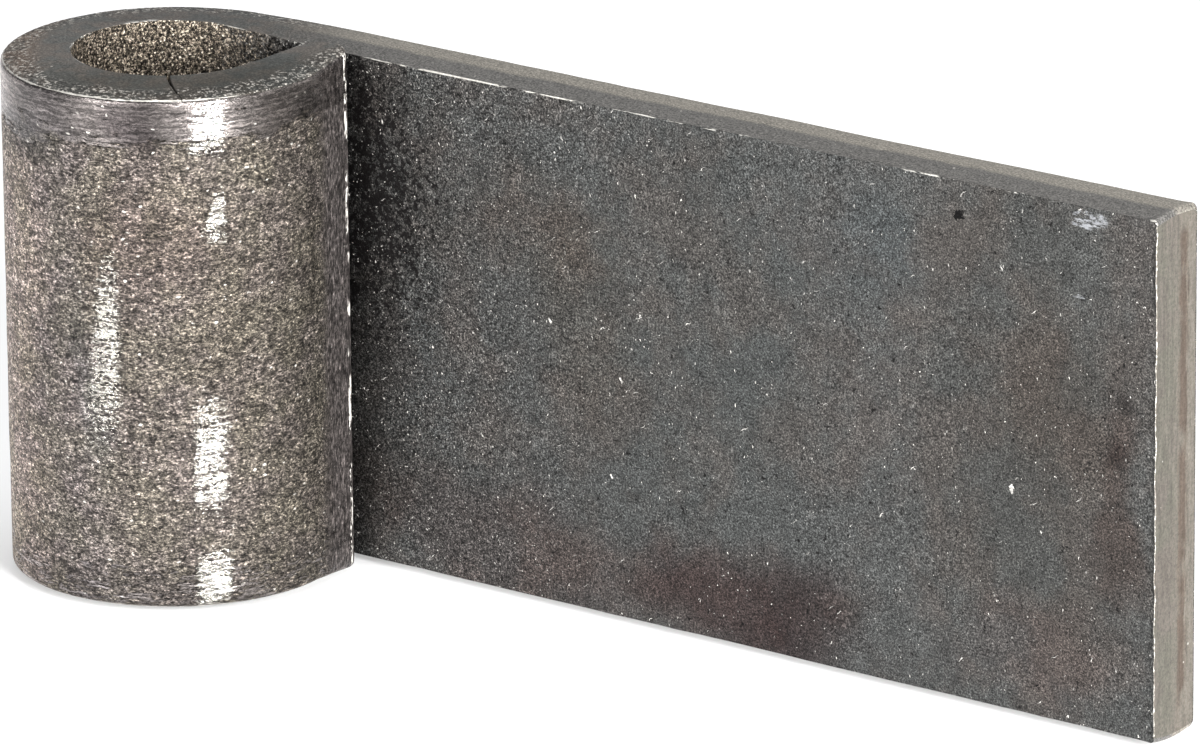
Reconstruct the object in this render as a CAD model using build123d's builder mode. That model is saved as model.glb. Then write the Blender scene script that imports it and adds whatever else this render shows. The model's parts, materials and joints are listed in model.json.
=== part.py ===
"""Weld-on hinge leaf: one flat steel bar with its end rolled round into an eye for the pin.

The bar's front face becomes the wall of the bore and its back face the outside of the barrel.
Frame: +Z runs up the bore axis, +X along the leaf to its cut end, +Y to the leaf's back face.
The origin is the middle of the bore, and the part is the same above and below it.
"""

import os
from math import cos, radians, sin, tan

from build123d import *

# Flat bar
bar_width = 45.0
bar_thickness = 6.0
edge_crown = 0.35  # how far a rolled edge bulges out between its two corners
back_corner_radius = 0.6  # the front corners stay sharp

# Eye
pin_diameter = 16.0
pin_play = 0.4  # bore diameter less pin diameter
eye_start = 95.5  # angle round the bore from +X where the leaf has become the eye
eye_end = 366.0  # angle where the eye runs out into its straight tip
leaf_setback = 0.4  # the leaf's back face lies this far outside the barrel's tangent
bore_lip = 0.15  # bending pushes the bar's edge out along the bore
rim_sink = 0.3  # and draws it in along the outside of the barrel
bent_crown = 0.1

# Tip of the eye, which was cropped before it was rolled
tip_thickness = 5.0
tip_lean = 7.5  # slope of its outer face towards the bore
tip_spread = 0.5  # cropping pushed its outer corners out past the bar's edges
tip_inner_radius = 1.2
tip_outer_radius = 1.9
corner_ease = 0.04  # keeps the two corner rounds from grazing the faces that they join
seam_gap = 0.1

# Leaf
leaf_reach = 94.5  # bore axis to cut end
cut_rollover = 0.5  # rounding left by the shear round the back of the cut end

# Radii and faces that follow
bore_radius = (pin_diameter + pin_play) / 2
barrel_radius = bore_radius + bar_thickness
neutral_radius = bore_radius + bar_thickness / 2
leaf_front = bore_radius + leaf_setback
leaf_middle = leaf_front + bar_thickness / 2

# A wide easing bend joins leaf and eye, centred on the line through the bore axis and the
# start of the eye. It makes up the setback within the few degrees by which the eye starts late.
easing_turn = eye_start - 90
easing_offset = leaf_setback / (1 - cos(radians(easing_turn)))
easing_radius = neutral_radius + easing_offset
easing_end_x = easing_offset * sin(radians(easing_turn))


def round_bore(angle, radius):
    """Point at an angle and a distance round the bore axis, at half the bar's width."""
    return Vector(radius * cos(radians(angle)), radius * sin(radians(angle)), 0)


def across_eye(angle):
    """Section plane through the bore axis, its x pointing from the bore out to the barrel."""
    outward = Vector(cos(radians(angle)), sin(radians(angle)), 0)
    onward = Vector(-sin(radians(angle)), cos(radians(angle)), 0)
    return Plane(round_bore(angle, neutral_radius), outward, onward)


def bar_section(plane, thickness, inner_rise, outer_rise, crown):
    """Section of the bar on a plane whose x runs from the front or bore face to the back.

    The rises say how far its corners stand past half the bar's width.
    """
    half_thickness = thickness / 2
    inner = bar_width / 2 + inner_rise
    outer = bar_width / 2 + outer_rise
    crest = (inner + outer) / 2 + crown
    with BuildSketch(plane) as section:
        with BuildLine():
            ThreePointArc((-half_thickness, inner), (0, crest), (half_thickness, outer))
            Line((half_thickness, outer), (half_thickness, -outer))
            ThreePointArc((half_thickness, -outer), (0, -crest), (-half_thickness, -inner))
            Line((-half_thickness, -inner), (-half_thickness, inner))
        make_face()
        fillet(section.vertices().group_by(Axis.X)[-1], back_corner_radius)
    return section.sketch


leaf_plane = Plane((easing_end_x, leaf_middle, 0), (0, 1, 0), (-1, 0, 0))
leaf_section = bar_section(leaf_plane, bar_thickness, -edge_crown, -edge_crown, edge_crown)
eye_section, run_out_section = (
    bar_section(across_eye(angle), bar_thickness, bore_lip, -rim_sink, bent_crown)
    for angle in (eye_start, eye_end)
)

# The straight tip carries on from the eye's last section and narrows to where it meets the leaf
root_inside = round_bore(eye_end, bore_radius)
root_outside = round_bore(eye_end, barrel_radius)
outer_slope = tan(radians(tip_lean))
tip_end_y = leaf_front - seam_gap
tip_outer_x = root_outside.X - (tip_end_y - root_outside.Y) * outer_slope
tip_inner_x = tip_outer_x - tip_thickness
tip_plane = Plane(((tip_inner_x + tip_outer_x) / 2, tip_end_y, 0), (1, 0, 0), (0, 1, 0))
tip_section = bar_section(tip_plane, tip_thickness, 0, tip_spread, bent_crown)

with BuildPart() as tip:
    loft([run_out_section, tip_section], ruled=True)
    # Its end has rounded corners, seen from above
    with BuildSketch() as tip_outline:
        with BuildLine():
            Polyline(
                (root_inside.X, 0),
                (tip_inner_x, tip_end_y),
                (tip_outer_x, tip_end_y),
                (tip_outer_x + tip_end_y * outer_slope, 0),
                close=True,
            )
        make_face()
        offset(amount=corner_ease, kind=Kind.INTERSECTION)
        fillet(tip_outline.vertices().group_by(Axis.Y)[-1].sort_by(Axis.X)[0], tip_inner_radius)
        fillet(tip_outline.vertices().group_by(Axis.Y)[-1].sort_by(Axis.X)[-1], tip_outer_radius)
    extrude(amount=bar_width, both=True, mode=Mode.INTERSECT)

with BuildLine() as easing_bend:
    CenterArc((easing_end_x, leaf_middle - easing_radius), easing_radius, 90, easing_turn)

with BuildPart() as hinge_leaf:
    extrude(leaf_section, amount=easing_end_x - leaf_reach)
    sweep([leaf_section, eye_section], path=easing_bend.line, multisection=True)
    revolve(eye_section, axis=Axis.Z, revolution_arc=eye_end - eye_start)
    add(tip)
    # The shear rolled over every edge of the cut end but the front one
    cut_end = hinge_leaf.faces().sort_by(Axis.X)[-1]
    fillet(cut_end.edges().sort_by(Axis.Y)[1:], cut_rollover)

hinge_leaf.part.label = "hinge_leaf"
os.makedirs("parts", exist_ok=True)
export_step(hinge_leaf.part, "parts/hinge_leaf.step")
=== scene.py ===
"""Looks of the weld-on hinge leaf: one hot-rolled bar, carried along its bent path as one closed skin."""
import json
from itertools import product

import bpy
import numpy as np
from mathutils import Matrix, Vector


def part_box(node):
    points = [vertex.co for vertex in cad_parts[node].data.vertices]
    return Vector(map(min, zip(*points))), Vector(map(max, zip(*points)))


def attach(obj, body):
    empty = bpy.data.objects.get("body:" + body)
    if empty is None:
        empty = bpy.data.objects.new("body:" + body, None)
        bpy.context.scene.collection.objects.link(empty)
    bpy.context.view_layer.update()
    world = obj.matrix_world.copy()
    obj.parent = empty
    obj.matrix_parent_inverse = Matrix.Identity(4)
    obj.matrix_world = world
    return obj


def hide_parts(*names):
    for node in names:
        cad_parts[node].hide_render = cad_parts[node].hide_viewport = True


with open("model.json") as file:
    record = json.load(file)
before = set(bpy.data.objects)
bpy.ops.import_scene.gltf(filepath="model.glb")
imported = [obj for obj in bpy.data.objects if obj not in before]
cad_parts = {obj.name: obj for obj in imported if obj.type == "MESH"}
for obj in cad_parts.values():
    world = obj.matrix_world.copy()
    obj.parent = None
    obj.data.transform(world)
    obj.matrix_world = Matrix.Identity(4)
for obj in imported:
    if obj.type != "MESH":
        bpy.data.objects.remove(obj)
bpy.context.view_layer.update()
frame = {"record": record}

MM = 0.001

# Sizes in millimetres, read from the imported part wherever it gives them
low, high = (np.array(corner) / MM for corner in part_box("hinge_leaf"))
bore_mount = next(m for m in frame["record"]["mounts"] if m["name"] == "pin_bore")
BORE_RADIUS = bore_mount["dims"]["r_mm"]
BARREL_RADIUS = -low[0]
THICKNESS = BARREL_RADIUS - BORE_RADIUS
LEAF_REACH = high[0]
LEAF_FRONT = high[1] - THICKNESS
HALF_WIDTH = 22.5
EDGE_CROWN, EYE_CROWN = 0.35, 0.1
EYE_INNER_RISE, EYE_OUTER_RISE = 0.15, -0.3
EYE_START, EYE_END = 95.5, 366.0
TIP_THICKNESS, TIP_LEAN, TIP_SPREAD = 5.0, 7.5, 0.5
TIP_INNER_RADIUS, TIP_OUTER_RADIUS = 1.2, 1.9
SEAM_GAP = 0.1
FRONT_EDGE_RADIUS, BACK_EDGE_RADIUS = 0.12, 0.6
ROLLOVER = 0.5
CRACK_ANGLE, CRACK_SLANT, CRACK_REACH = -49.0, 2.4, 5.4
CRACK_HALF_WIDTH, CRACK_FALL, CRACK_PULL = 0.16, 1.1, 9
HOLLOW_DEPTH, DIMPLE_DEPTH = 0.05, 0.018
BURR_REACH, BURR_DEPTH, BURR_FROM_CORNER = 0.45, 0.06, 0.8
LONE_PIT_LENGTH, LONE_PIT_HEIGHT = 19.4, 19.2

# Where the mesh has its stations and outline points: how many, and setbacks from the bar's two ends
LEAF_STEPS, BEND_STEPS, EYE_STEPS, TIP_STEPS, EDGE_STEPS, FACE_STEPS = 156, 10, 152, 14, 18, 82
CORNER_STEPS = 5
CUT_SETBACKS = (0, 0.04, 0.1, 0.18, 0.28, 0.4, 0.5, 0.75)
TIP_SETBACKS = (1.9, 1.6, 1.3, 1.05, 0.8, 0.6, 0.42, 0.28, 0.16, 0.07, 0.015, 0)
FIRST_LEAF_SETBACK, LAST_TIP_SETBACK = 1.15, 2.2
CRACK_STATIONS, CRACK_CLEARANCE = np.linspace(-1.6, 1.6, 13), 2.2
FAR_FROM_END = 99.0

# Stretches of the bar, and its sides in the order of their finishes
LEAF_END, BEND, EYE, TIP = 0, 1, 2, 3
FRONT, BACK, EDGE, END = 0, 1, 2, 3


def lumps(points, size, seed):
    """Smooth bumps from -1 to 1: a cubic lattice's corners get hashed values, blended by eased distances."""
    cell = np.floor(points / size).astype(np.int64)
    part = points / size - cell
    part = part * part * (3 - 2 * part)
    total = np.zeros(points.shape[:-1])
    for corner in product((0, 1), repeat=3):
        at = cell + corner
        mixed = (at[..., 0] * 73856093) ^ (at[..., 1] * 19349663) ^ (at[..., 2] * 83492791) ^ (seed * 6364136)
        mixed = (mixed ^ (mixed >> 13)) * 1274126177 & 0x7FFFFFFF
        value = ((mixed ^ (mixed >> 16)) & 0xFFFF) / 32767.5 - 1
        total += value * np.prod(np.where(corner, part, 1 - part), axis=-1)
    return total


def ease(value, start, end):
    """Smooth step: 0 before start, 1 after end, and a cubic between them."""
    t = np.clip((value - start) / (end - start), 0, 1)
    return t * t * (3 - 2 * t)


def bar_stations():
    """Places along the bar where its section is drawn, as pairs of a stretch and its stations.

    The leaf runs by its setback from the cut end, the easing bend and the eye by angle, and the tip by
    its share of the way to its end. Stations crowd together at the cut end, at the crack and at the
    tip's rounded end.
    """
    leaf = np.linspace(FIRST_LEAF_SETBACK, LEAF_REACH - easing_end_x, LEAF_STEPS)
    crack = CRACK_ANGLE + 360 + CRACK_STATIONS
    eye = np.linspace(EYE_START, EYE_END, EYE_STEPS)
    eye = np.sort(np.concatenate([eye[np.abs(eye - CRACK_ANGLE - 360) > CRACK_CLEARANCE], crack]))
    plain_tip = np.linspace(0, 1 - LAST_TIP_SETBACK / tip_length, TIP_STEPS)
    tip = np.concatenate([plain_tip[1:], 1 - np.array(TIP_SETBACKS) / tip_length])
    return [
        (LEAF_END, np.concatenate([CUT_SETBACKS, leaf])),
        (BEND, np.linspace(0, easing_turn, BEND_STEPS)[1:]),
        (EYE, eye[1:]),
        (TIP, tip),
    ]


# Angles, lengths and corners of the bent path, worked out from the sizes
easing_turn = EYE_START - 90
easing_offset = (LEAF_FRONT - BORE_RADIUS) / (1 - np.cos(np.radians(easing_turn)))
easing_radius = BORE_RADIUS + THICKNESS / 2 + easing_offset
easing_end_x = easing_offset * np.sin(np.radians(easing_turn))
tip_end_y = LEAF_FRONT - SEAM_GAP
end_turn = np.radians(EYE_END)
root_inside = BORE_RADIUS * np.array([np.cos(end_turn), np.sin(end_turn)])
root_outside = BARREL_RADIUS * np.array([np.cos(end_turn), np.sin(end_turn)])
tip_length = tip_end_y - root_outside[1]
tip_outer_x = root_outside[0] - tip_length * np.tan(np.radians(TIP_LEAN))
bend_length = LEAF_REACH - easing_end_x + np.radians(easing_turn) * easing_radius
eye_length = bend_length + np.radians(EYE_END - EYE_START) * (BORE_RADIUS + THICKNESS / 2)
# Where the tip's outer corner turns in towards the leaf
seam_length = eye_length + 5.6


def bar_section(thickness, inner_rise, outer_rise, crown, front_inset, back_inset, height_inset):
    """Closed outline of the bar's section at every station, as rows of depth through the bar and height.

    Between its corners a rolled edge is the straight slope of the two corners' rises plus a parabola
    of the crown's height. A corner is a round of its radius that starts square to the face and ends
    along the edge's slope. The outline runs front to back along the top edge, down the back face,
    back to front along the bottom edge and up the front face; the lower half mirrors the upper.
    """
    def rolled(depth):
        t = depth / thickness
        return (HALF_WIDTH + inner_rise + (outer_rise - inner_rise) * t
                + crown * 4 * t * (1 - t) - height_inset)

    def corner(turns, at, radius, towards):
        slope = np.arctan((rolled(at) - rolled(at + towards * 0.01)) / 0.01)
        turn = turns * (1 - slope / (np.pi / 2))
        last = np.pi / 2 - slope
        meet = rolled(at + towards * radius * (1 - np.cos(last))) - radius * np.sin(last)
        return at + towards * radius * (1 - np.cos(turn)), meet + radius * np.sin(turn)

    front_at, back_at = front_inset, thickness - back_inset
    over = np.linspace(0.25, 0.5, CORNER_STEPS) * np.pi
    down = np.linspace(0.25, 0, CORNER_STEPS)[1:] * np.pi
    front_top = corner(over[None], front_at, FRONT_EDGE_RADIUS, 1)
    back_top = corner(over[None, ::-1], back_at, BACK_EDGE_RADIUS, -1)
    front_side = corner(down[None], front_at, FRONT_EDGE_RADIUS, 1)
    back_side = corner(down[None], back_at, BACK_EDGE_RADIUS, -1)
    along = np.linspace(0, 1, EDGE_STEPS)[None, 1:-1]
    run = front_top[0][:, -1:] + (back_top[0][:, :1] - front_top[0][:, -1:]) * along
    top = (np.concatenate([front_top[0], run, back_top[0]], axis=1),
           np.concatenate([front_top[1], rolled(run), back_top[1]], axis=1))
    straight = np.linspace(1, -1, FACE_STEPS)[None, 1:-1]

    def face(side):
        level = side[1][:, -1:] * straight
        depth = side[0][:, -1:] + 0 * straight
        return (np.concatenate([side[0], depth, side[0][:, ::-1]], axis=1),
                np.concatenate([side[1], level, -side[1][:, ::-1]], axis=1))

    back, front = face(back_side), face(front_side)
    depth = np.concatenate([top[0], back[0], top[0][:, ::-1], front[0][:, ::-1]], axis=1)
    height = np.concatenate([top[1], back[1], -top[1][:, ::-1], front[1][:, ::-1]], axis=1)
    return depth, height


def round_inset(distance, radius):
    """How far a round of this radius has drawn the surface in, at a distance from its end."""
    rest = np.clip(radius - distance, 0, radius)
    return radius - np.sqrt(radius * radius - rest * rest)


def bent_bar():
    """The whole bar as a grid: one closed section outline for each station along its bent path.

    A point lies at its station's front point plus its depth times the outward direction. The front
    point goes straight along the leaf, round the easing arc, round the bore, and straight again in
    the tip, where front and back run straight from the eye's last section to the tip's end.
    Returns positions, and each point's place in the bar: length from the cut, depth and height.
    """
    rows = []
    for kind, value in bar_stations():
        share = np.zeros_like(value)
        cut = tip_cut = np.full_like(value, FAR_FROM_END)
        thick = np.full_like(value, THICKNESS)
        if kind == LEAF_END:
            front = np.stack([LEAF_REACH - value, np.full_like(value, LEAF_FRONT)], 1)
            outward = np.stack([np.zeros_like(value), np.ones_like(value)], 1)
            cut, length = value, value
        elif kind == BEND:
            turn = np.radians(90 + value)
            outward = np.stack([np.cos(turn), np.sin(turn)], 1)
            centre = np.array([easing_end_x, LEAF_FRONT + THICKNESS / 2 - easing_radius])
            front = centre + (easing_radius - THICKNESS / 2) * outward
            length = LEAF_REACH - easing_end_x + np.radians(value) * easing_radius
            share = value / easing_turn
        elif kind == EYE:
            turn = np.radians(value)
            outward = np.stack([np.cos(turn), np.sin(turn)], 1)
            front = BORE_RADIUS * outward
            length = bend_length + np.radians(value - EYE_START) * (BORE_RADIUS + THICKNESS / 2)
            share = np.ones_like(value)
        else:
            tip_inner_x = tip_outer_x - TIP_THICKNESS
            inner = root_inside + value[:, None] * (np.array([tip_inner_x, tip_end_y]) - root_inside)
            outer = root_outside + value[:, None] * (np.array([tip_outer_x, tip_end_y]) - root_outside)
            thick = np.linalg.norm(outer - inner, axis=1)
            outward, front = (outer - inner) / thick[:, None], inner
            length = eye_length + value * tip_length
            tip_cut = (1 - value) * tip_length
            share = 1 + value
        rows.append((np.full(len(value), kind), front, outward, thick, share, cut, tip_cut, length))
    kind, front, outward, thick, share, cut, tip_cut, length = (np.concatenate(r) for r in zip(*rows))
    inner_rise = np.interp(share, [0, 1, 2], [-EDGE_CROWN, EYE_INNER_RISE, 0])
    outer_rise = np.interp(share, [0, 1, 2], [-EDGE_CROWN, EYE_OUTER_RISE, TIP_SPREAD])
    crown = np.interp(share, [0, 1, 2], [EDGE_CROWN, EYE_CROWN, EYE_CROWN])
    rollover = round_inset(cut, ROLLOVER)
    front_inset = round_inset(tip_cut, TIP_INNER_RADIUS)
    back_inset = round_inset(tip_cut, TIP_OUTER_RADIUS) + rollover
    section = (thick, inner_rise, outer_rise, crown, front_inset, back_inset, rollover)
    depth, height = bar_section(*(values[:, None] for values in section))
    flat = front[:, None, :] + depth[..., None] * outward[:, None, :]
    points = np.concatenate([flat, height[..., None]], axis=2)
    place = np.stack([length[:, None] + 0 * depth, depth, height], axis=2)
    return points, place, kind


def crack_path(depth):
    """Angle round the bore where the crack in the top of the eye lies at a depth through the bar."""
    return CRACK_ANGLE - CRACK_SLANT + 2 * CRACK_SLANT * np.clip(depth / CRACK_REACH, 0, 1) ** 1.3


def worn_bar(points, place, kind):
    """The bar with its damage: a crack in the eye, a burr at the cut and shallow hollows all over.

    The stations near the crack are turned about the bore until they follow it. The hollows sink the
    skin along its own normal by two sizes of lumps, and fade out at the bar's ends. The points within
    the crack's half width then drop by its depth, least at its sides. The burr pushes the front edge
    of the cut end forward by a ragged height.
    """
    length, depth, height = np.moveaxis(place, 2, 0)
    angle = np.degrees(np.arctan2(points[..., 1], points[..., 0]))
    in_eye = (kind == EYE)[:, None]
    near = in_eye * np.cos(np.clip((angle - CRACK_ANGLE) / CRACK_PULL, -1, 1) * np.pi / 2) ** 2
    upper = ease(height, HALF_WIDTH - 4, HALF_WIDTH - 1)
    turn = np.radians((crack_path(depth) - CRACK_ANGLE) * near * upper)
    cosine, sine = np.cos(turn), np.sin(turn)
    x, y, z = np.moveaxis(points, 2, 0)
    points = np.stack([x * cosine - y * sine, x * sine + y * cosine, z], axis=2)

    along = np.roll(points, -1, axis=0) - np.roll(points, 1, axis=0)
    along[0], along[-1] = points[1] - points[0], points[-1] - points[-2]
    around = np.roll(points, -1, axis=1) - np.roll(points, 1, axis=1)
    normal = np.cross(around, along)
    normal /= np.linalg.norm(normal, axis=2, keepdims=True) + 1e-9
    hollow = HOLLOW_DEPTH * (1 + lumps(points, 9.0, 3)) + DIMPLE_DEPTH * (1 + lumps(points, 2.2, 5))
    hollow *= 1 - 0.8 * in_eye * (1 - ease(depth, 0, 0.8))
    hollow *= ease(length, 0, 1.5)
    hollow *= ease(length.max() - length, 0, 1.2)
    points = points - normal * hollow[..., None]

    through = np.clip(depth / CRACK_REACH, 0, 1)
    aside = np.abs(np.radians(angle - CRACK_ANGLE)) * (BORE_RADIUS + depth)
    half = CRACK_HALF_WIDTH * (1 - 0.75 * through)
    fall = CRACK_FALL * (1 - 0.8 * through) * (depth < CRACK_REACH)
    crack = in_eye * upper * np.clip(1 - aside / half, 0, 1) ** 0.6
    points[..., 2] -= fall * crack * ease(height, HALF_WIDTH - 3.4, HALF_WIDTH - 0.4)

    ragged = 0.1 + 0.09 * lumps(points, 1.6, 11) + 0.07 * lumps(points, 0.7, 12)
    burr = np.clip(ragged, 0.01, None) * np.clip(1 - length / BURR_REACH, 0, 1) ** 1.5
    burr *= (depth < BURR_DEPTH) * (np.abs(height) < HALF_WIDTH - BURR_FROM_CORNER)
    points[..., 1] -= burr
    return points, crack


def paint(red, green, blue):
    """Linear colour of an ordinary 0 to 255 screen colour."""
    screen = np.array([red, green, blue]) / 255
    return tuple(np.where(screen < 0.04, screen / 12.92, ((screen + 0.055) / 1.055) ** 2.4))


def along_eye(angle):
    """Length along the bar at an angle round the bore."""
    return bend_length + np.radians(angle + 360 - EYE_START) * (BORE_RADIUS + THICKNESS / 2)


# Soft stains, and a few places of painted shade and painted reflection: side of the bar, middle along it
# and up it, half sizes, and what the steel's colour is multiplied by. Lengths run from the cut end. On the
# rolled edges, depth stands in for height.
STAINS_AND_PAINTED_LIGHT = (
    # Painted shade: the front face darkened to under half in the corner where the tip meets it
    (FRONT, 84.0, 0, 7.5, 40, (0.42, 0.41, 0.4)),
    (FRONT, 78.0, 10, 9.0, 12, (0.8, 0.79, 0.78)),
    (FRONT, 77.0, -3, 6.0, 7, (0.84, 0.88, 0.9)),
    (FRONT, 62.0, 9, 9.0, 7, (1.0, 0.96, 0.93)),
    (FRONT, 58.0, 3, 6.0, 12, (1.02, 0.97, 0.93)),
    (FRONT, 46.0, 4, 16.0, 22, (0.93, 0.95, 0.95)),
    (FRONT, 66.0, -18, 18.0, 5, (0.9, 0.8, 0.79)),
    (FRONT, 43.0, -19, 11.0, 5, (0.6, 0.48, 0.48)),
    (FRONT, 34.0, -18, 7.0, 5, (0.68, 0.6, 0.6)),
    (FRONT, 28.0, 15, 12.0, 5, (0.94, 0.99, 1.02)),
    (FRONT, 12.0, 2, 14.0, 26, (0.84, 0.83, 0.81)),
    (FRONT, 10.0, 4, 6.0, 9, (0.95, 0.9, 0.87)),
    (FRONT, 3.5, -2, 2.5, 12, (0.8, 0.72, 0.7)),
    (FRONT, 12.0, -17, 9.0, 5, (1.06, 0.97, 0.96)),
    (FRONT, 2.6, 6.4, 1.3, 1.8, (0.42, 0.4, 0.4)),
    (FRONT, 4.2, 2.0, 1.6, 1.3, (0.5, 0.46, 0.46)),
    # Painted reflection: the barrel's left rim, seen edge on, made about three times lighter
    (BACK, along_eye(-143), 0, 8.0, 40, (3.0, 2.85, 2.8)),
    (BACK, along_eye(-83), -3, 1.2, 7, (0.92, 0.97, 1.0)),
    (BACK, along_eye(-93), 0, 3.2, 30, (1.2, 1.2, 1.24)),
    (BACK, along_eye(-112), 18, 5.0, 3, (0.72, 0.75, 0.78)),
    # Painted dark reflection: the rubbed top band darkened just beside the upper highlight
    (BACK, along_eye(-56), 19.5, 1.8, 3, (0.6, 0.58, 0.6)),
    (BACK, along_eye(-54), 0, 6.0, 34, (0.86, 0.85, 0.84)),
    (BACK, along_eye(-36), 4, 4.0, 14, (0.98, 0.97, 0.96)),
    (BACK, along_eye(-10), 0, 6.0, 40, (0.86, 0.85, 0.82)),
    (BACK, along_eye(-66), -19.5, 18.0, 3, (0.88, 0.88, 0.88)),
    (BACK, along_eye(-62), 10, 6.0, 7, (0.95, 0.91, 0.89)),
    (EDGE, along_eye(-150), 4.8, 8.0, 2, (1.16, 1.0, 0.9)),
    (EDGE, along_eye(-50), 3, 14.0, 5, (0.62, 0.61, 0.58)),
    (EDGE, along_eye(-4), 3, 9.0, 5, (0.72, 0.74, 0.74)),
    (EDGE, along_eye(-262), 3, 14.0, 5, (0.8, 0.8, 0.8)),
)


def stain_and_painted_light_of(place, side):
    """Colour multiplier at each point: the product of all stains and painted light and shade, each
    faded by its ragged ellipse.

    An entry's strength is an eased fall from its middle to its rim, and its rim is moved about by
    lumps of several sizes.
    """
    length, depth, height = np.moveaxis(place, -1, 0)
    sway = np.stack([lumps(place, size, seed) for size, seed in ((7.0, 21), (7.0, 22), (2.5, 23), (2.5, 24))])
    colour = np.ones(place.shape)
    for face, at, level, long, tall, tone in STAINS_AND_PAINTED_LIGHT:
        up = depth if face == EDGE else height
        swing = 0.25 if face == EDGE else 1.0
        x = (length - at + 2.2 * sway[0] + 1.1 * sway[2]) / long
        y = (up - level + swing * (2.2 * sway[1] + 1.1 * sway[3])) / tall
        strength = (1 - ease(np.hypot(x, y), 0.35, 1.25)) * (side == face)
        colour *= 1 + strength[..., None] * (np.array(tone) - 1)
    return colour


# Where the barrel is rubbed bright, with a painted highlight where the strip lamps reflect: middle angle
# and height, half sizes in millimetres, sideways drift of its middle from foot to head, and strength
WORN_PATCHES_AND_PAINTED_HIGHLIGHTS = (
    (-38.0, 19.7, 1.35, 2.9, 0.0, 0.76),
    (-35.6, 12.0, 0.75, 2.6, 0.25, 0.78),
    (-38.9, -9.4, 1.3, 6.2, 0.1, 0.77),
    (-38.4, -20.2, 1.35, 3.0, 0.0, 1.02),
    (-74.8, 0.4, 1.15, 10.6, 0.5, 0.7),
)


# Scuffs on the front face near the cut end: middle along the bar and up it, half sizes, and strength
SCUFFS = ((6.6, 21.0, 4.4, 1.5, 1.0), (7.6, 14.2, 2.6, 3.0, 0.6))


def polish_of(place, side):
    """How far the skin is rubbed smooth, from 0 to 1: bands beside both rims of the eye, and the scuffs."""
    length, _, height = np.moveaxis(place, -1, 0)
    in_eye = ease(length, bend_length - 2, bend_length + 4)
    tilt = 0.8 * lumps(place, 6.0, 31) + 0.4 * lumps(place, 2.0, 32)
    worn = 0.82 * ease(height + tilt, 16.6, 19.2) + 0.45 * ease(-height + tilt, 17.4, 19.6)
    scuff = np.zeros_like(length)
    for at, level, long, tall, strength in SCUFFS:
        away = np.hypot((length - at) / long, (height - level) / tall)
        scuff = np.maximum(scuff, strength * (1 - ease(away, 0.1, 1.1)))
    return np.where(side == BACK, np.clip(worn, 0, 1) * in_eye, scuff * (side == FRONT))


def worn_patch_and_highlight_of(place, side):
    """How bright the barrel is rubbed, partly wear and partly a painted highlight: upright patches with
    straight sides and ragged heads and feet.
    """
    length, _, height = np.moveaxis(place, -1, 0)
    ragged = 1.2 * lumps(place, 2.4, 41)
    shine = np.zeros_like(length)
    for angle, level, long, tall, drift, strength in WORN_PATCHES_AND_PAINTED_HIGHLIGHTS:
        up = (height - level + ragged) / tall
        aside = np.abs(length - along_eye(angle) - drift * up)
        narrow = 1 - 0.45 * np.clip(up, -1, 1) * (drift > 0.2)
        patch = 1 - ease(aside, (long - 0.55) * narrow, (long + 0.3) * narrow)
        patch *= 1 - ease(np.abs(up), 0.3, 1.2)
        shine = np.maximum(shine, strength * patch)
    return shine * (side == BACK)


def pitting_of(place, side):
    """How thickly the front face is pitted, from 0 to 1: most beside the eye, and round the lone pit."""
    length, _, height = np.moveaxis(place, -1, 0)
    beside = 1 - ease(np.hypot((length - 84) / 13, (height - 10) / 17), 0.4, 1.15)
    lone = 1 - ease(np.hypot(length - LONE_PIT_LENGTH, height - LONE_PIT_HEIGHT), 0.2, 0.7)
    return np.maximum(beside, lone) * (side == FRONT)


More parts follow.
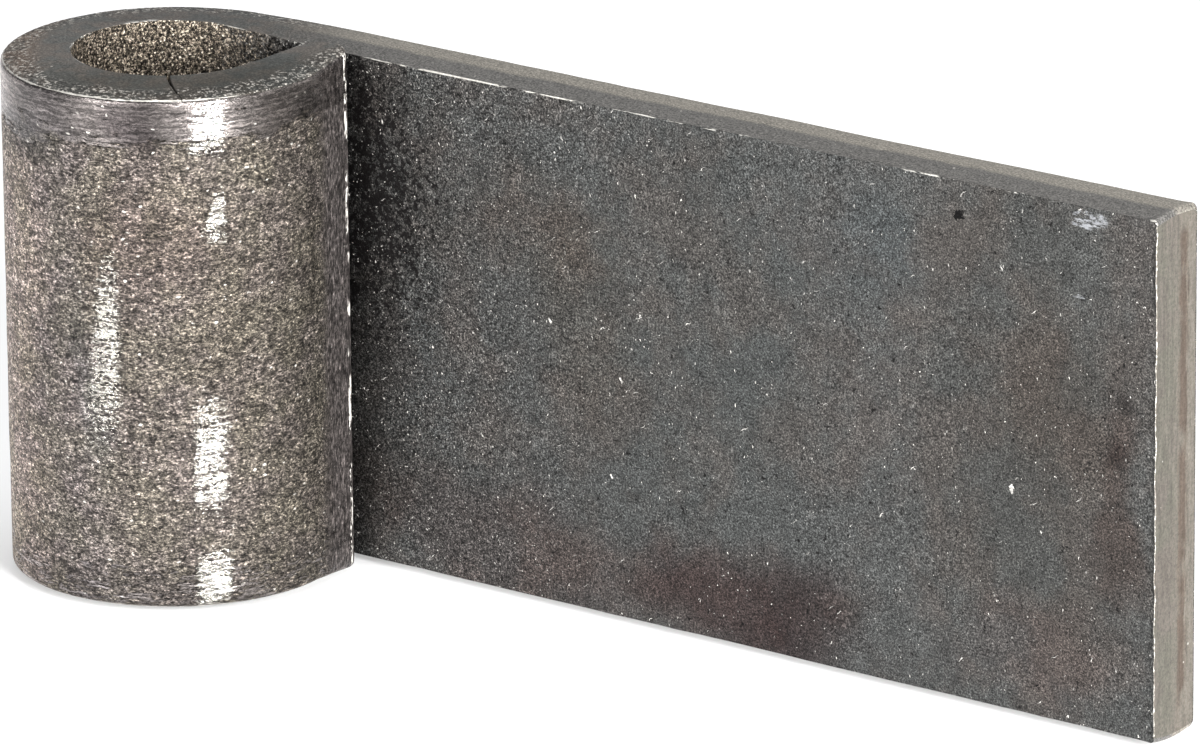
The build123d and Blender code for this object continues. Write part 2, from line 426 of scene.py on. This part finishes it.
def skin(points, place, kind):
    """Faces of the grid and of its two ends, with the values that the finishes read, as one closed mesh.

    Neighbouring stations and outline points make the faces along the bar. An end is a patch spanned
    between its four sides: the sum of the two straight blends across it less the blend of its corners.
    In the outline, tall and deep count the points of a face and of an edge, corner points included.
    """
    points, crack = worn_bar(points, place, kind)
    stations, ring = points.shape[:2]
    tall = FACE_STEPS + 2 * CORNER_STEPS - 2
    deep = ring // 2 + 2 - tall
    back_corner = deep - 1
    bottom_corner = back_corner + tall - 1
    front_corner = bottom_corner + deep - 1
    side = np.repeat([EDGE, BACK, EDGE, FRONT], [deep, tall - 2, deep, tall - 2])[None] + 0 * kind[:, None]
    depth, level = place[..., 1], np.abs(place[..., 2])
    edges = np.stack([np.hypot(depth - depth[:, :1], level - level[:, :1]),
                      np.hypot(depth - depth[:, back_corner:deep], level - level[:, back_corner:deep]),
                      0 * depth], axis=2)
    values = [points, place, stain_and_painted_light_of(place, side), edges, crack,
              polish_of(place, side), worn_patch_and_highlight_of(place, side), pitting_of(place, side)]
    values = [v.reshape(stations * ring, -1) for v in values]
    index = np.arange(stations * ring).reshape(stations, ring)
    ahead, beside = index[1:], np.roll(index, -1, axis=1)
    faces = np.stack([index[:-1], beside[:-1], beside[1:], ahead], axis=2).reshape(-1, 4)
    zone = np.repeat([EDGE, BACK, EDGE, FRONT], [deep - 1, tall - 1, deep - 1, tall - 1])
    zones = np.tile(zone, stations - 1)
    grown = [[v] for v in values]
    count = stations * ring
    for station, flip in ((0, False), (stations - 1, True)):
        outline = index[station]
        top = outline[:deep]
        back = outline[back_corner:back_corner + tall]
        bottom = outline[bottom_corner:bottom_corner + deep][::-1]
        front = np.append(outline[front_corner:], outline[0])[::-1]
        u = np.linspace(0, 1, deep)[None, :, None]
        v = np.linspace(0, 1, tall)[:, None, None]
        for held, source in zip(grown, values):
            over, under, fore, aft = (source[points_on] for points_on in (top, bottom, front, back))
            patch = (1 - v) * over[None] + v * under[None]
            patch = patch + (1 - u) * fore[:, None] + u * aft[:, None]
            patch -= ((1 - u) * (1 - v) * over[0] + u * (1 - v) * over[-1]
                      + (1 - u) * v * under[0] + u * v * under[-1])
            held.append(patch[1:-1, 1:-1].reshape(-1, source.shape[1]))
        grid = np.empty((tall, deep), np.int64)
        grid[0], grid[-1], grid[:, 0], grid[:, -1] = top, bottom, front, back
        inner = (tall - 2) * (deep - 2)
        grid[1:-1, 1:-1] = count + np.arange(inner).reshape(tall - 2, deep - 2)
        count += inner
        cap = np.stack([grid[:-1, :-1], grid[:-1, 1:], grid[1:, 1:], grid[1:, :-1]], axis=2).reshape(-1, 4)
        faces = np.concatenate([faces, cap if flip else cap[:, ::-1]])
        zones = np.concatenate([zones, np.full(len(cap), END)])
    return faces, zones, [np.concatenate(v).astype(np.float32) for v in grown]


# Attributes of the mesh that the finishes read, in the order in which skin() gives them
ATTRIBUTES = ("bar_place", "stain", "edge_distance", "crack", "polish", "shine", "pitting")


def build_leaf():
    """The dressed hinge leaf, in metres, with the values that its finishes read as attributes."""
    faces, zones, (points, *values) = skin(*bent_bar())
    mesh = bpy.data.meshes.new("rolled_leaf")
    mesh.from_pydata(points * MM, [], faces.tolist())
    mesh.polygons.foreach_set("material_index", zones.astype(np.int32))
    mesh.polygons.foreach_set("use_smooth", np.ones(len(faces), bool))
    for name, value in zip(ATTRIBUTES, values):
        vector = value.shape[1] == 3
        attribute = mesh.attributes.new(name, "FLOAT_VECTOR" if vector else "FLOAT", "POINT")
        attribute.data.foreach_set("vector" if vector else "value", value.ravel())
    mesh.validate()
    mesh.update()
    leaf = bpy.data.objects.new("rolled_leaf", mesh)
    bpy.context.scene.collection.objects.link(leaf)
    return leaf


class Finish:
    """A material and its nodes. add() makes any node; sockets come back as Wires that do arithmetic."""

    def __init__(self, name):
        self.material = bpy.data.materials.new(name)
        self.material.use_nodes = True
        self.tree = self.material.node_tree
        self.tree.nodes.clear()

    def add(self, kind, settings=None, sockets=None, result=0):
        """Adds a node: first its settings, then the values or links of its sockets."""
        node = self.tree.nodes.new("ShaderNode" + kind)
        for name, value in (settings or {}).items():
            setattr(node, name, value)
        for name, value in (sockets or {}).items():
            if isinstance(value, Wire):
                self.tree.links.new(value.socket, node.inputs[name])
            else:
                node.inputs[name].default_value = value
        return Wire(self, node.outputs[result]) if len(node.outputs) else node


class Wire:
    """An output socket. Arithmetic on it adds Math nodes."""

    def __init__(self, finish, socket):
        self.finish, self.socket = finish, socket

    def also(self, result):
        """Another output of the same node."""
        return Wire(self.finish, self.socket.node.outputs[result])

    def math(self, operation, *values):
        return self.finish.add("Math", {"operation": operation}, dict(enumerate(values)))

    def __add__(self, other):
        return self.math("ADD", self, other)

    def __sub__(self, other):
        return self.math("SUBTRACT", self, other)

    def __rsub__(self, other):
        return self.math("SUBTRACT", other, self)

    def __mul__(self, other):
        return self.math("MULTIPLY", self, other)

    def __truediv__(self, other):
        return self.math("DIVIDE", self, other)

    def __pow__(self, other):
        return self.math("POWER", self, other)

    __radd__, __rmul__ = __add__, __mul__


class Steel(Finish):
    """The steel's own patterns, in millimetres, on the bar's place or on the object."""

    def __init__(self, name):
        super().__init__(name)
        position = self.add("TexCoord", result=3)
        self.here = self.stretch(position, (1000, 1000, 1000))
        self.bar = self.read("bar_place")
        self.length, self.depth, self.height = self.parts(self.bar)
        self.stain = self.read("stain")

    def read(self, name, result=1):
        """An attribute of the mesh: result 1 is a vector and 2 is a number."""
        return self.add("Attribute", {"attribute_name": name}, result=result)

    def parts(self, vector):
        first = self.add("SeparateXYZ", None, {0: vector})
        return first, first.also(1), first.also(2)

    def stretch(self, vector, by):
        return self.add("VectorMath", {"operation": "MULTIPLY"}, {0: vector, 1: by})

    def grain(self, vector, size, detail=2.0, roughness=0.6):
        """Fractal noise from about 0 to 1 with lumps of a size in millimetres."""
        return self.add("TexNoise", None, {"Vector": vector, "Scale": 1 / size, "Detail": detail,
                                           "Roughness": roughness})

    def fade(self, value, start, end, low=0.0, high=1.0):
        """Smooth step from low to high as the value goes from start to end."""
        return self.add("MapRange", {"interpolation_type": "SMOOTHSTEP"},
                        {0: value, 1: start, 2: end, 3: low, 4: high})

    def specks(self, vector, spacing, radius, share, soft=0.5):
        """Scattered spots: a share of the cells of a Voronoi pattern get a spot of about the radius."""
        near = self.add("TexVoronoi", None, {"Vector": vector, "Scale": 1 / spacing, "Randomness": 1.0})
        luck, size, _ = self.parts(near.also(1))
        rim = radius / spacing
        spot = self.fade(near / (size * 0.8 + 0.4), rim * (1 + soft), rim * (1 - soft))
        return spot * self.math("LESS_THAN", luck, share)

    def ruffle(self, vector, by, size):
        """The vector moved about by noise, so that spots on it come out ragged."""
        noise = self.grain(vector, size, 2, 0.7).also(1)
        away = self.add("VectorMath", {"operation": "SUBTRACT"}, {0: noise, 1: (0.5, 0.5, 0.5)})
        moved = self.stretch(away, (by, by, by))
        return self.add("VectorMath", {"operation": "ADD"}, {0: vector, 1: moved})

    def mark(self, vector, at, radius):
        """One ragged spot at a place."""
        away = self.add("VectorMath", {"operation": "DISTANCE"}, {0: vector, 1: at}, result=1)
        rim = (self.grain(vector, radius * 0.8, 2, 0.7) - 0.5) * radius * 3
        return self.fade(away + rim, radius * 1.15, radius * 0.85)

    def upper(self):
        """1 in the bar's upper half and 0 in its lower."""
        return self.fade(self.height, -5, 5)

    def bright_run(self):
        """1 on the stretch of the leaf where its front edge is rubbed bright."""
        return self.fade(self.length, 54, 60) * self.fade(self.length, 79, 74)

    def math(self, operation, *values):
        return self.add("Math", {"operation": operation}, dict(enumerate(values)))

    def blend(self, factor, start, end, mode="MIX"):
        """Colour mix. Plain colours may be given as three numbers."""
        start, end = ((*c, 1) if isinstance(c, tuple) else c for c in (start, end))
        settings = {"data_type": "RGBA", "blend_type": mode}
        return self.add("Mix", settings, {0: factor, 6: start, 7: end}, result=2)

    def tint(self, colour, factor):
        """A colour made lighter or darker by a number."""
        colour = self.blend(1.0, colour, self.stain, "MULTIPLY")
        return self.add("VectorMath", {"operation": "SCALE"}, {0: colour, 3: factor})

    def surface(self, colour, roughness, heights, metallic=0.85, anisotropic=0.4):
        """Ends the material. Heights are pairs of a pattern and its depth in millimetres.

        Rubbing along the bar leaves grooves that spread a reflection across the bar, so the shine
        is turned a quarter from the tangent, which lies flat on every upright face.
        """
        normal = None
        for pattern, depth in heights:
            sockets = {"Height": pattern, "Distance": depth * MM, "Strength": 1.0}
            if normal is not None:
                sockets["Normal"] = normal
            normal = self.add("Bump", None, sockets)
        shader = self.add("BsdfPrincipled", None, {
            "Base Color": colour, "Roughness": roughness, "Metallic": metallic, "Normal": normal,
            "Anisotropic": anisotropic, "Anisotropic Rotation": 0.25})
        self.add("OutputMaterial", None, {"Surface": shader})
        return self.material


def front_scale():
    """Front face of the leaf and wall of the bore: dark grey mill scale, coarse and golden in the bore."""
    steel = Steel("front_scale")
    bore = steel.fade(steel.length, bend_length - 8, bend_length + 4)
    fine = steel.grain(steel.here, 0.17, 2, 0.8)
    medium = steel.grain(steel.here, 0.45, 3, 0.7)
    patchy = steel.grain(steel.here, 1.6, 3, 0.6)
    cloud = steel.grain(steel.here, 7.0, 4, 0.6)
    hue = steel.blend(steel.fade(cloud, 0.38, 0.64), paint(96, 97, 96), paint(101, 97, 94))
    beside = steel.fade(steel.length, 46, 84)
    shade = (fine * 2) ** (3.3 + beside * 2.4) * (medium * 2) ** (1.0 + beside * 1.4) * (patchy * 2) ** 0.4
    colour = steel.tint(hue, shade * (0.455 - beside * 0.155))
    coarse = steel.grain(steel.here, 0.24, 3, 0.85)
    gold = steel.tint(paint(126, 116, 103), (coarse * 2) ** 10.5 * (medium * 2) ** 1.8 * 0.41)
    colour = steel.blend(bore, colour, gold)
    pitted = steel.read("pitting", 2)
    ruffled = steel.ruffle(steel.here, 0.55, 0.5)
    glint = steel.specks(ruffled, 0.6, 0.11, 0.5)
    colour = steel.blend(glint * bore * 0.7, colour, paint(226, 214, 196))
    holes = steel.grain(steel.here, 0.6, 4, 0.75)
    hole = steel.fade(holes + pitted * 0.17, 0.62, 0.66)
    flake = steel.fade(steel.grain(ruffled, 0.24, 3, 0.85), 0.56, 0.62) * beside * 0.36
    colour = steel.blend(flake * (1 - bore), colour, paint(150, 146, 142))
    colour = steel.blend(hole * 0.92, colour, paint(14, 12, 12))
    group = steel.grain(steel.here, 5.0, 3, 0.7)
    crowd = steel.fade(group + beside * 0.12, 0.4, 0.58)
    white = steel.specks(ruffled, 0.85, 0.078, 0.6)
    slim = steel.specks(steel.stretch(ruffled, (2.8, 1, 0.8)), 1.3, 0.1, 0.38)
    turned = steel.add("VectorRotate", {"rotation_type": "Y_AXIS"}, {0: ruffled, "Angle": 0.6})
    hair = steel.specks(steel.stretch(turned, (0.28, 1, 3.4)), 1.3, 0.095, 0.26)
    dust = steel.specks(ruffled, 0.5, 0.065, 0.6) * crowd
    sparkle = steel.specks(ruffled, 0.42, 0.06, 0.26) * beside
    dust = steel.math("MAXIMUM", dust, sparkle)
    chip = steel.specks(steel.stretch(turned, (2.2, 1, 0.9)), 4.5, 0.16, 0.3)
    spots = (1 - (1 - white * crowd) * (1 - slim) * (1 - hair) * (1 - dust) * (1 - chip)) * (1 - bore)
    big_chip = steel.mark(steel.stretch(ruffled, (1, 1, 0.55)), (80.3, LEAF_FRONT, -1.7), 0.2)
    spots = steel.math("MAXIMUM", spots, big_chip)
    dull = steel.grain(steel.here, 0.5, 2, 0.6)
    colour = steel.blend(spots * steel.fade(dull, 0.3, 0.6, 0.35, 0.95), colour, paint(232, 229, 223))
    lone_pit = steel.mark(ruffled, (LEAF_REACH - LONE_PIT_LENGTH, LEAF_FRONT, LONE_PIT_HEIGHT), 0.42)
    colour = steel.blend(lone_pit, colour, paint(10, 9, 9))
    edge, _, _ = steel.parts(steel.read("edge_distance"))
    chance = steel.grain(steel.stretch(steel.bar, (0.3, 1, 1)), 1.6, 4, 0.7)
    bright_run = steel.bright_run()
    bright_edge_mark = steel.fade(edge - bright_run * 0.06, 0.18, 0.08)
    bright_edge_mark = bright_edge_mark * steel.fade(chance + bright_run * 0.07, 0.52, 0.57) * steel.upper()
    ragged = steel.grain(steel.here, 0.4, 3, 0.75)
    broken = steel.grain(steel.stretch(steel.bar, (1, 1, 0.4)), 0.8, 4, 0.75)
    cut_line = steel.fade(steel.length + ragged * 0.4, 0.26, 0.18) * steel.fade(broken, 0.45, 0.52, 0.05, 0.8)
    bright_edge_mark = steel.math("MAXIMUM", bright_edge_mark, cut_line)
    scrape = steel.grain(steel.stretch(steel.here, (0.45, 1, 1.3)), 0.7, 4, 0.75)
    scuff = steel.fade(steel.read("polish", 2) * 0.4 + scrape, 0.77, 0.92)
    colour = steel.blend(scuff * 0.65, colour, paint(172, 174, 178))
    colour = steel.blend(bright_edge_mark * 0.85, colour, paint(225, 222, 214))
    crack = steel.read("crack", 2)
    # Painted shade: the crack is painted near black
    colour = steel.blend(steel.fade(crack, 0.05, 0.5), colour, (0.004, 0.004, 0.004))
    rough = 0.5 + fine * 0.15 - bright_edge_mark * 0.2 - bore * 0.15
    heights = ((fine, 0.06), (medium, 0.05), (coarse * bore, 0.2), (hole, -0.12), (spots, 0.03))
    return steel.surface(colour, rough, heights)


def back_scale():
    """Outside of the barrel and back of the leaf: warm brown scale with short dashes, rubbed in places, with
    painted highlights.
    """
    steel = Steel("back_scale")
    polish = steel.read("polish", 2)
    tip = steel.fade(steel.length, eye_length + 0.6, eye_length + 2.6)
    flow = steel.ruffle(steel.bar, 0.5, 1.2)
    dash = steel.grain(steel.stretch(flow, (0.62, 1, 1)), 0.165, 3, 0.85)
    grit = steel.grain(steel.bar, 0.16, 2, 0.85)
    blot = steel.grain(steel.stretch(flow, (0.75, 1, 1)), 0.5, 3, 0.75)
    streak = steel.grain(steel.stretch(flow, (0.08, 1, 1)), 0.26, 4, 0.75)
    drag = steel.grain(steel.stretch(steel.bar, (1, 1, 0.3)), 0.22, 3, 0.8)
    patchy = steel.grain(steel.stretch(steel.bar, (0.5, 1, 1)), 1.3, 3, 0.65)
    cloud = steel.grain(steel.here, 4.5, 3, 0.6)
    smooth = steel.fade(polish + (streak - 0.5) * 1.5 + (patchy - 0.5) * 1.1, 0.45, 0.53)
    band = steel.fade(steel.math("ABSOLUTE", steel.height) + (patchy - 0.5) * 5, 17, 19)
    hue = steel.blend(steel.fade(cloud, 0.36, 0.64), paint(133, 124, 119), paint(131, 124, 114))
    shade = (dash * 2) ** 4.3 * (grit * 2) ** 3.2 * (blot * 2) ** 2.2 * (patchy * 2) ** 0.7
    colour = steel.tint(hue, shade * 0.385)
    rubbed = steel.tint(paint(120, 114, 112), (streak * 2) ** 3.0 * (dash * 2) ** 1.6 * 0.55)
    colour = steel.blend(smooth * band, colour, rubbed)
    shine = steel.read("shine", 2)
    # Rubbed patches: pale bare metal, partly wear and partly a painted highlight where the strip lamps
    # reflect
    worn_and_painted_highlight = shine + (streak - 0.5) * 2.8 + (dash - 0.5) * 2.6 + (grit - 0.5) * 1.4
    bright = steel.fade(worn_and_painted_highlight, 0.62, 0.74) * steel.fade(shine, 0.05, 0.25)
    colour = steel.blend(bright, colour, paint(182, 179, 171))
    dark = steel.tint(paint(98, 92, 90), (drag * 2) ** 4.4 * (blot * 2) ** 1.6 * 0.74)
    colour = steel.blend(tip, colour, dark)
    pit = steel.fade(steel.grain(steel.stretch(flow, (0.6, 1, 1)), 0.55, 4, 0.8), 0.61, 0.68)
    colour = steel.blend(pit * 0.85 * (1 - smooth), colour, paint(36, 30, 28))
    ruffled = steel.ruffle(steel.bar, 0.4, 0.4)
    white = steel.specks(steel.stretch(ruffled, (0.8, 1, 1)), 0.9, 0.09, 0.34)
    dust = steel.specks(steel.stretch(ruffled, (0.6, 1, 1)), 0.5, 0.075, 0.3) * steel.fade(patchy, 0.45, 0.6)
    white = steel.math("MAXIMUM", white, dust)
    colour = steel.blend(white * 0.75 * (1 - tip * 0.5), colour, paint(235, 230, 222))
    _, edge, _ = steel.parts(steel.read("edge_distance"))
    ragged = steel.grain(steel.stretch(steel.bar, (0.4, 1, 1)), 0.6, 4, 0.75)
    in_eye = steel.fade(steel.length, bend_length, bend_length + 4)
    turned_in = steel.fade(steel.length, along_eye(-24), along_eye(-32))
    # Painted highlight: a bright ragged line along the barrel's top outer rim, from the leaf round to the
    # front, ending short of the tip
    bright_edge_mark = steel.fade(edge + ragged * 0.5, 0.36, 0.28) * turned_in * in_eye * steel.upper()
    chance = steel.grain(steel.stretch(steel.bar, (1, 1, 0.45)), 0.8, 4, 0.75)
    from_seam = steel.math("ABSOLUTE", steel.length - seam_length)
    seam = steel.fade(from_seam, 0.42, 0.3) * steel.fade(chance, 0.51, 0.55) * steel.fade(cloud, 0.42, 0.47)
    bright_edge_mark = steel.math("MAXIMUM", bright_edge_mark, seam)
    colour = steel.blend(bright_edge_mark * 0.85, colour, paint(228, 224, 216))
    dull_rough = 0.56 + dash * 0.12 - smooth * (0.4 - streak * 0.1)
    rough = dull_rough * (1 - bright) + bright * 0.2 - bright_edge_mark * 0.15
    heights = ((dash * (1 - smooth) * (1 - tip), 0.14), (blot * (1 - smooth), 0.1), (streak * smooth, 0.05),
               (drag * tip, 0.06), (pit * (1 - smooth), -0.1))
    return steel.surface(colour, rough, heights, 0.85 - seam * 0.8)


def rolled_edge():
    """Top and bottom edges: smooth grey, painted darker at the front as shading, flecked and with a painted
    highlight at the barrel's rim.
    """
    steel = Steel("rolled_edge")
    eye = steel.fade(steel.length, bend_length - 12, bend_length - 1)
    fine = steel.grain(steel.here, 0.19, 2, 0.75)
    cloud = steel.grain(steel.here, 3.0, 3, 0.6)
    # Painted shading on the leaf's rolled edges: the front part, sloping towards the viewer, darker; the back
    # part, at a grazing angle, lighter
    share = steel.fade(steel.depth + (cloud - 0.5) * 0.8, 2.2, 3.0)
    leaf_edge_painted_shading = steel.blend(share, paint(110, 108, 105), paint(148, 143, 134))
    eye_tone = steel.blend(steel.fade(cloud, 0.4, 0.6), paint(100, 100, 97), paint(112, 106, 100))
    colour = steel.tint(steel.blend(eye, leaf_edge_painted_shading, eye_tone), (fine * 2) ** 1.8)
    flecks = steel.grain(steel.here, 0.34, 2, 0.75)
    outer = steel.fade(steel.depth + (cloud - 0.5) * 3, 2.9, 4.3) * eye
    colour = steel.blend(outer * steel.fade(flecks, 0.55, 0.64), colour, paint(200, 195, 187))
    colour = steel.blend(outer * steel.fade(flecks, 0.47, 0.38) * 0.8, colour, paint(36, 33, 31))
    white = steel.specks(steel.here, 1.2, 0.1, 0.25)
    colour = steel.blend(white * 0.7, colour, paint(225, 220, 212))
    front, back, _ = steel.parts(steel.read("edge_distance"))
    chance = steel.grain(steel.stretch(steel.bar, (0.3, 1, 1)), 1.6, 4, 0.7)
    bright_run = steel.bright_run()
    bright_edge_mark = steel.fade(front - bright_run * 0.04, 0.14, 0.06)
    bright_edge_mark = bright_edge_mark * steel.fade(chance + bright_run * 0.07, 0.54, 0.59)
    ragged = steel.grain(steel.stretch(steel.bar, (0.4, 1, 1)), 0.6, 4, 0.75)
    turned_in = steel.fade(steel.length, along_eye(-24), along_eye(-32))
    # Painted highlight: the bright line along the barrel's outer rim, on the rolled edges
    rim = steel.fade(back + ragged * 0.5, 0.36, 0.28) * eye * turned_in
    bright_edge_mark = steel.math("MAXIMUM", bright_edge_mark, rim)

    def far_mark(from_rim, start, end, soft):
        strip = steel.fade(from_rim + ragged * 1.2, 1.3, 1.05)
        begun = steel.fade(steel.length, along_eye(start), along_eye(start + soft))
        return strip * begun * steel.fade(steel.length, along_eye(end), along_eye(end - soft))

    far_marks = steel.math("MAXIMUM", far_mark(front, -226, -202, 5), far_mark(back, -230, -212, 4))
    bright_edge_mark = steel.math("MAXIMUM", bright_edge_mark, far_marks * steel.upper() * steel.fade(flecks, 0.44, 0.52))
    colour = steel.blend(bright_edge_mark * 0.9, colour, paint(230, 226, 218))
    crack = steel.read("crack", 2)
    # Painted shade: the crack is painted near black
    colour = steel.blend(steel.fade(crack, 0.05, 0.5), colour, (0.004, 0.004, 0.004))
    rough = 0.5 + fine * 0.1 - bright_edge_mark * 0.2
    return steel.surface(colour, rough, ((fine, 0.03), (flecks * outer, 0.08)), anisotropic=0.0)


def sheared_end():
    """Cut end of the leaf and the cropped tip: grey fracture streaked along the cut, with a brown band."""
    steel = Steel("sheared_end")
    fine = steel.grain(steel.here, 0.22, 2, 0.7)
    streak = steel.grain(steel.stretch(steel.bar, (1, 1, 0.12)), 0.4, 4, 0.65)
    cloud = steel.grain(steel.here, 4.0, 2, 0.5)
    hue = steel.blend(steel.fade(cloud, 0.4, 0.6), paint(110, 104, 97), paint(107, 104, 95))
    colour = steel.blend(steel.fade(steel.depth + streak, 2.2, 4.6), hue, paint(121, 115, 106))
    band = steel.fade(steel.depth + streak * 1.6, 3.8, 4.3) * steel.fade(steel.depth + streak * 1.6, 5.4, 4.9)
    colour = steel.blend(band * steel.fade(cloud, 0.36, 0.52) * 0.8, colour, paint(92, 78, 68))
    colour = steel.tint(colour, (fine * 2) ** 0.7 * (streak * 2) ** 0.6)
    white = steel.specks(steel.here, 1.5, 0.1, 0.2)
    colour = steel.blend(white * 0.6, colour, paint(228, 224, 216))
    ragged = steel.grain(steel.here, 0.5, 3, 0.7)
    bright_edge_mark = steel.fade(steel.depth + ragged * 0.4, 0.22, 0.14)
    colour = steel.blend(bright_edge_mark * 0.85, colour, paint(228, 224, 216))
    rough = 0.45 + fine * 0.12
    return steel.surface(colour, rough, ((fine, 0.02), (streak, 0.03)), anisotropic=0.3)


leaf = build_leaf()
for finish in (front_scale, back_scale, rolled_edge, sheared_end):
    leaf.data.materials.append(finish())
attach(leaf, "root")
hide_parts("hinge_leaf")


def studio_floor():
    """Plain pale floor just under the lowest point of the part."""
    level = low[2] * MM
    mesh = bpy.data.meshes.new("studio_floor")
    mesh.from_pydata([(-4, -4, level), (4, -4, level), (4, 4, level), (-4, 4, level)], [], [(0, 1, 2, 3)])
    floor = bpy.data.objects.new("studio_floor", mesh)
    bpy.context.scene.collection.objects.link(floor)
    paper = Finish("pale_floor")
    shader = paper.add("BsdfPrincipled", None, {"Base Color": (0.7, 0.7, 0.7, 1), "Roughness": 0.9,
                                                "Emission Color": (1, 1, 1, 1), "Emission Strength": 0.25})
    paper.add("OutputMaterial", None, {"Surface": shader})
    mesh.materials.append(paper.material)
    return floor


studio_floor()


def softbox(name, azimuth, elevation, distance, width, height, power):
    """Area light at an azimuth from +X and an elevation, facing a point near the middle of the part."""
    light = bpy.data.lights.new(name, "AREA")
    light.shape, light.size, light.size_y = "RECTANGLE", width, height
    light.energy = power
    lamp = bpy.data.objects.new(name, light)
    a, e = np.radians(azimuth), np.radians(elevation)
    aim = Vector((0.02, 0, 0))
    towards = Vector((np.cos(a) * np.cos(e), np.sin(a) * np.cos(e), np.sin(e)))
    lamp.location = aim + distance * towards
    lamp.rotation_euler = towards.to_track_quat("Z", "Y").to_euler()
    lamp.visible_camera = False
    bpy.context.scene.collection.objects.link(lamp)


softbox("tall_strip_right", -26, 13, 0.7, 0.22, 0.34, 17)
softbox("tall_strip_left", -96, 13, 0.7, 0.2, 0.3, 5)
softbox("overhead", 60, 70, 1.2, 1.2, 1.2, 8)

world = bpy.data.worlds.new("soft_studio")
bpy.context.scene.world = world
world.use_nodes = True
world.node_tree.nodes["Background"].inputs["Color"].default_value = (0.95, 0.97, 1, 1)
world.node_tree.nodes["Background"].inputs["Strength"].default_value = 0.42
bpy.context.scene.view_settings.view_transform = "Standard"

CAMERA_AT = (0.59707, -0.72926, 0.29844)
CAMERA_AZIMUTH, CAMERA_ELEVATION, CAMERA_ROLL = -37.123, 17.957, -0.5
LENS, SENSOR_WIDTH = 350.9, 36


def aimed_camera():
    """Camera that looks down by its elevation, away from -Y by its azimuth, and rolls about its view."""
    camera = bpy.data.objects.new("camera", bpy.data.cameras.new("camera"))
    camera.data.lens, camera.data.sensor_width = LENS, SENSOR_WIDTH
    camera.data.clip_start, camera.data.clip_end = 0.05, 20
    azimuth, elevation, roll = np.radians([CAMERA_AZIMUTH, CAMERA_ELEVATION, CAMERA_ROLL])
    level = np.cos(elevation)
    forward = Vector((np.sin(azimuth) * level, np.cos(azimuth) * level, -np.sin(elevation)))
    side = forward.cross(Vector((0, 0, 1))).normalized()
    up = side.cross(forward)
    right = np.cos(roll) * side + np.sin(roll) * up
    up = np.cos(roll) * up - np.sin(roll) * side
    turned = Matrix((right, up, -forward)).transposed()
    camera.matrix_world = Matrix.Translation(CAMERA_AT) @ turned.to_4x4()
    bpy.context.scene.collection.objects.link(camera)
    return camera


bpy.context.scene.camera = aimed_camera()
